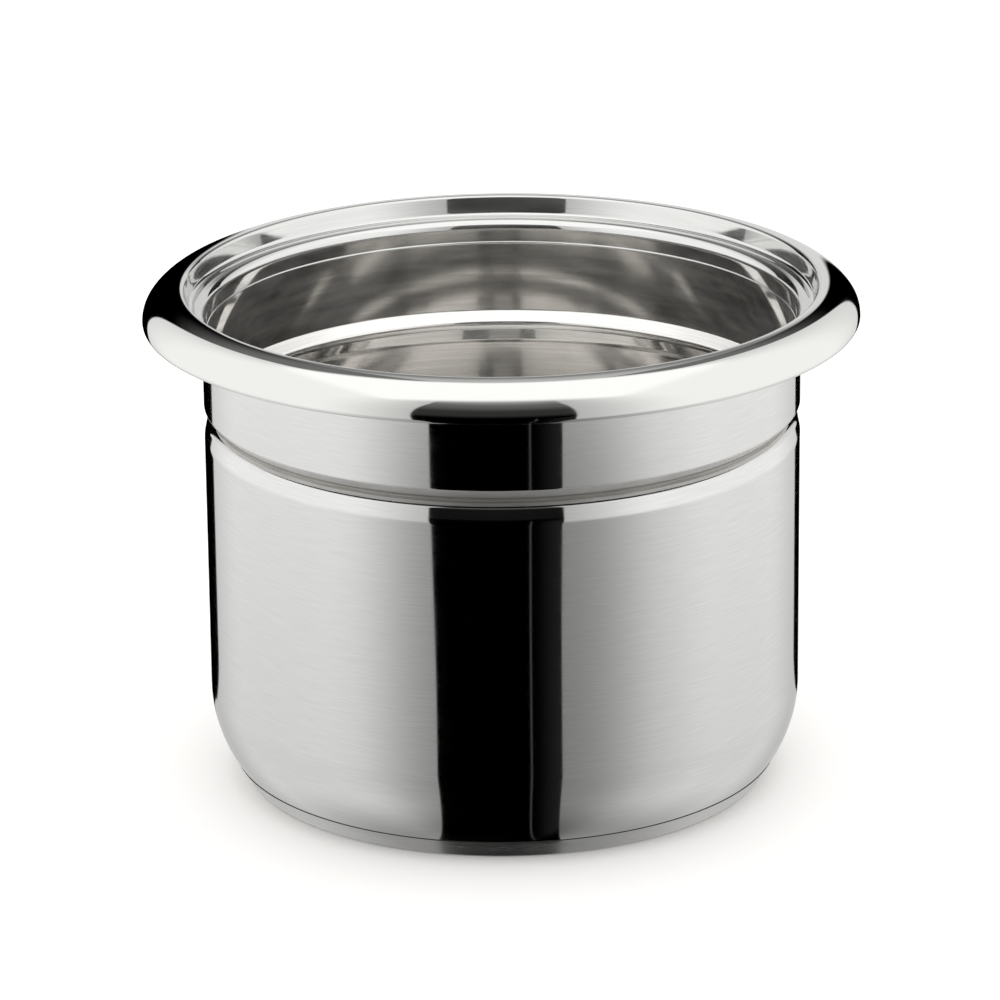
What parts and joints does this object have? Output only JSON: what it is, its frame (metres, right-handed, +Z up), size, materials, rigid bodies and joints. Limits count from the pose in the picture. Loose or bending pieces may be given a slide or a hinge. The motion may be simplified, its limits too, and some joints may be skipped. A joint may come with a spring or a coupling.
{
  "type": "open round soup kettle",
  "caption": "Open round stainless-steel soup kettle with a mirror-polished bullnose rim, a stepped recess, a rolled groove under the neck and a sandwich induction base.",
  "frame": {"origin": "centre of the flat underside, where the kettle stands", "axes": "+Z up the kettle's axis, out of its open top; +X to the right and +Y away from the viewer in the picture, though the kettle looks the same from every side"},
  "size_m": [0.3244, 0.3244, 0.2314],
  "materials": {
    "satin_steel": "fine satin, brushed round the wall",
    "mirror_steel": "mirror-polished stainless steel",
    "core_aluminium": "plain rolled plate, hidden inside the base",
    "base_steel": "satin, turned"
  },
  "bodies": {
    "root": {"kettle_shell": "satin_steel", "rim_collar": "mirror_steel", "heat_spreader_disc": "core_aluminium", "induction_base_cap": "base_steel"}
  },
  "joints": []
}
